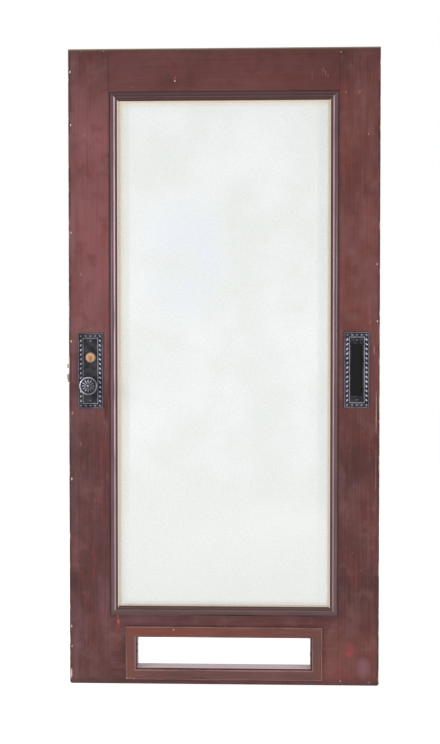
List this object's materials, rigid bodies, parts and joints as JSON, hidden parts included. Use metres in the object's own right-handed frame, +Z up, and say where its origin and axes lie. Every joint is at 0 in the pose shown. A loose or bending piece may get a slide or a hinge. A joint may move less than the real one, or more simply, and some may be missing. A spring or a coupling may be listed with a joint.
{
  "type": "glass door leaf",
  "caption": "Painted panelled door leaf with one tall obscure glass pane, a framed low vent opening, a beaded knob lock and a beaded letter plate with an inward flap.",
  "frame": {"origin": "middle of the leaf's bottom edge, halfway through its thickness", "axes": "+Z up, +X towards the hinge edge, +Y inwards, the way the leaf opens"},
  "size_m": [1.0152, 0.1476, 2.057],
  "materials": {
    "paint": "worn red-brown gloss paint on wood",
    "glass": "obscure, finely textured",
    "putty": "set linseed putty",
    "rusty_steel": "rusted",
    "dark_bronze": "dark, worn bright on the high spots",
    "dark_sheet": "black, satin",
    "brass": "turned, slightly dull",
    "bolt_brass": "worn, greyed",
    "steel": "plain, oiled"
  },
  "bodies": {
    "leaf": {"lock_stile": "paint", "hinge_stile": "paint", "top_rail": "paint", "bottom_rail": "paint", "front_bead_top": "paint", "front_bead_bottom": "paint", "front_bead_left": "paint", "front_bead_right": "paint", "back_bead_top": "paint", "back_bead_bottom": "paint", "back_bead_left": "paint", "back_bead_right": "paint", "vent_front_top": "paint", "vent_front_bottom": "paint", "vent_front_left": "paint", "vent_front_right": "paint", "vent_back_top": "paint", "vent_back_bottom": "paint", "vent_back_left": "paint", "vent_back_right": "paint", "glass_pane": "glass", "glazing_putty": "putty", "vent_nail_stubs": "rusty_steel", "escutcheon_front": "dark_bronze", "escutcheon_back": "dark_bronze", "escutcheon_front_screws": "dark_bronze", "escutcheon_back_screws": "dark_bronze", "cylinder_collar": "dark_bronze", "letter_plate": "dark_bronze", "letter_back_plate": "dark_bronze", "letter_plate_screws": "dark_bronze", "letter_back_screws": "dark_bronze", "cylinder_shell": "brass", "lock_front": "bolt_brass", "lock_front_screws": "bolt_brass", "cylinder_set_screw": "steel", "lock_case": "steel", "lock_case_cover": "steel", "lock_cover_screws": "steel", "latch_spring": "steel", "guard_spring": "steel", "letter_flap_pin": "steel", "letter_flap_spring": "steel"},
    "knob_set": {"knob_front": "dark_bronze", "knob_back": "dark_bronze", "knob_spindle": "steel", "knob_set_screws": "steel", "lock_hub": "steel"},
    "latch": {"latch_bolt": "bolt_brass", "anti_friction_tongue": "bolt_brass"},
    "guard": {"guard_bolt": "bolt_brass"},
    "key_plug": {"cylinder_plug": "brass", "cylinder_cam": "brass"},
    "flap": {"letter_flap": "dark_sheet"}
  },
  "joints": [
    {"name": "knob_turn", "type": "hinge", "parent": "leaf", "child": "knob_set", "pos_m": [-0.4315, 0, 0.9736], "axis": [0, 1, 0], "range_deg": [0, 40], "stiffness_Nm_per_rad": 0.3},
    {"name": "latch_slide", "type": "slide", "parent": "leaf", "child": "latch", "axis": [1, 0, 0], "range_m": [0, 0.01], "deforming": ["latch_spring"]},
    {"name": "guard_slide", "type": "slide", "parent": "leaf", "child": "guard", "axis": [1, 0, 0], "range_m": [0, 0.009], "stiffness_N_per_m": 300, "deforming": ["guard_spring"]},
    {"name": "key_turn", "type": "hinge", "parent": "leaf", "child": "key_plug", "pos_m": [-0.4315, 0, 1.0577], "axis": [0, 1, 0], "range_deg": [0, 100]},
    {"name": "flap_swing", "type": "hinge", "parent": "leaf", "child": "flap", "pos_m": [0.448, -0.0186, 1.0245], "axis": [0, 0, -1], "range_deg": [0, 80], "stiffness_Nm_per_rad": 0.05, "deforming": ["letter_flap_spring"]}
  ],
  "couplings": [
    {"joint": "latch_slide", "follows": "knob_turn", "m_per_rad": 0.0143}
  ]
}
